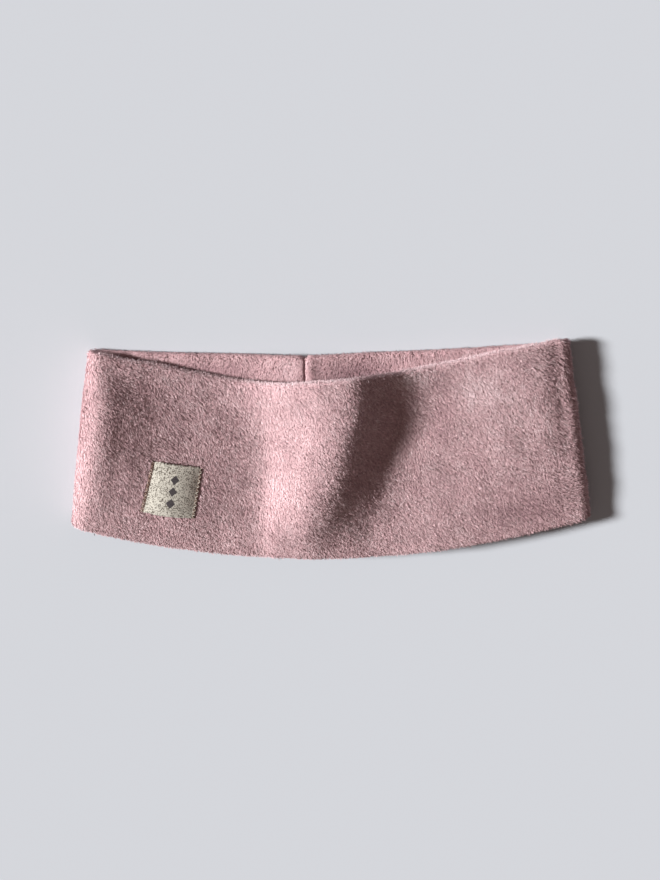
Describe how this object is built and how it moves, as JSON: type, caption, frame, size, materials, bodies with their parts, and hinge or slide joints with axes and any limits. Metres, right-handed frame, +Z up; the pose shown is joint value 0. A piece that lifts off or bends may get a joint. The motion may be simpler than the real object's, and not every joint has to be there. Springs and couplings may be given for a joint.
{
  "type": "fleece headband",
  "caption": "Wide closed band of soft fleece with a lining, tapered, lying on its back wall with the front arched in a soft ridge; a small woven tab sits on the front.",
  "frame": {"origin": "middle of the footprint, on the surface that the band lies on", "axes": "+X to the right along the band as the front wall is looked down on, +Y to the narrow upper edge, +Z up from the surface through the back wall and the front wall"},
  "size_m": [0.2658, 0.117, 0.0292],
  "materials": {
    "outer_fleece": "dusty pink brushed fleece with a short nap",
    "lining_fleece": "dusty pink brushed fleece with a short nap",
    "tab_cloth": "speckled beige linen weave"
  },
  "bodies": {
    "root": {"outer_layer": "outer_fleece", "lining": "lining_fleece", "woven_tab": "tab_cloth"}
  },
  "joints": []
}
